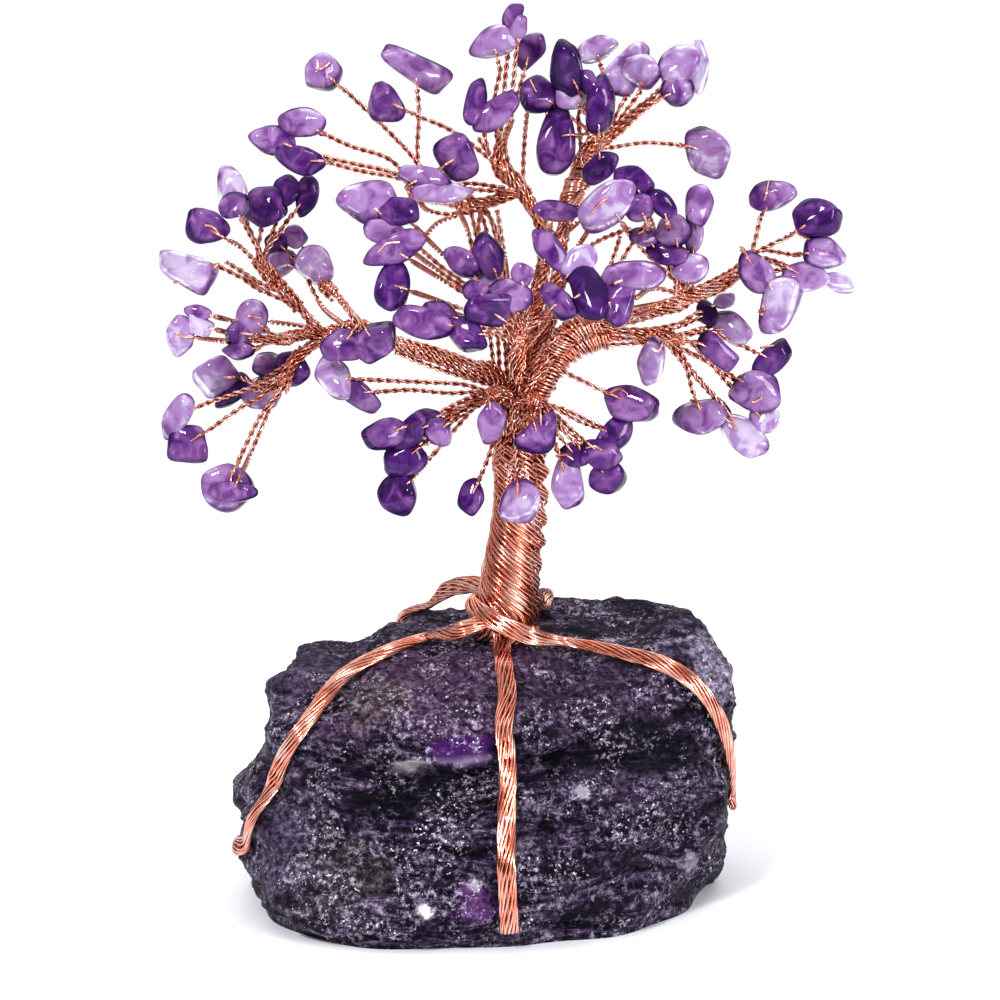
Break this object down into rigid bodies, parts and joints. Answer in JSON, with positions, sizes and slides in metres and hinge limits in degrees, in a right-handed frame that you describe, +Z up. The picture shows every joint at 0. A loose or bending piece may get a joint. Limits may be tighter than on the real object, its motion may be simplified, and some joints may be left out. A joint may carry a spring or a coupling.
{
  "type": "wire tree sculpture",
  "caption": "Ornament: a coiled copper wire trunk on a rough amethyst rock, gripped by wire roots, with twisted twigs that hold tumbled amethyst chips.",
  "frame": {"origin": "on the rock's flat underside, below the foot of the trunk", "axes": "+Z up along the trunk, +X to the right and +Y to the back as the front is seen"},
  "size_m": [0.0948, 0.058, 0.1235],
  "materials": {
    "rock": "rough",
    "copper_wire": "bright",
    "amethyst": "polished"
  },
  "bodies": {
    "root": {"rock": "rock", "trunk": "copper_wire", "root_left": "copper_wire", "root_front": "copper_wire", "root_right": "copper_wire", "root_back_left": "copper_wire", "root_back_right": "copper_wire", "chips_left_tip": "amethyst", "chips_left_top": "amethyst", "chips_left_outer_top": "amethyst", "chips_left_inner_top": "amethyst", "chips_left_far": "amethyst", "chips_left_inner": "amethyst", "chips_left_side": "amethyst", "chips_left_middle": "amethyst", "chips_left_low": "amethyst", "chips_left_hanging": "amethyst", "chips_left_lowest": "amethyst", "chips_left_drop": "amethyst", "chips_top_long": "amethyst", "chips_top_left": "amethyst", "chips_top_high": "amethyst", "chips_top_pair": "amethyst", "chips_top_single": "amethyst", "chips_centre_top": "amethyst", "chips_centre_peak": "amethyst", "chips_centre_left": "amethyst", "chips_centre_pair": "amethyst", "chips_centre_low": "amethyst", "chips_centre_front": "amethyst", "chips_low_left": "amethyst", "chips_low_small": "amethyst", "chips_low_front": "amethyst", "chips_trunk_front": "amethyst", "chips_trunk_right": "amethyst", "chips_low_right": "amethyst", "chips_top_right_dark": "amethyst", "chips_top_right_pale": "amethyst", "chips_top_right_small": "amethyst", "chips_right_knot": "amethyst", "chips_right_centre": "amethyst", "chips_centre_right": "amethyst", "chips_right_front": "amethyst", "chips_right_corner": "amethyst", "chips_right_upper": "amethyst", "chips_right_high": "amethyst", "chips_right_outer": "amethyst", "chips_right_inner": "amethyst", "chips_right_pale": "amethyst", "chips_right_small": "amethyst", "chips_right_low": "amethyst", "branch_left": "copper_wire", "branch_top": "copper_wire", "branch_upper_left": "copper_wire", "branch_top_right": "copper_wire", "branch_right_upper": "copper_wire", "branch_right_low": "copper_wire", "branch_middle": "copper_wire", "branch_low_left": "copper_wire", "branch_low_right": "copper_wire"}
  },
  "joints": []
}
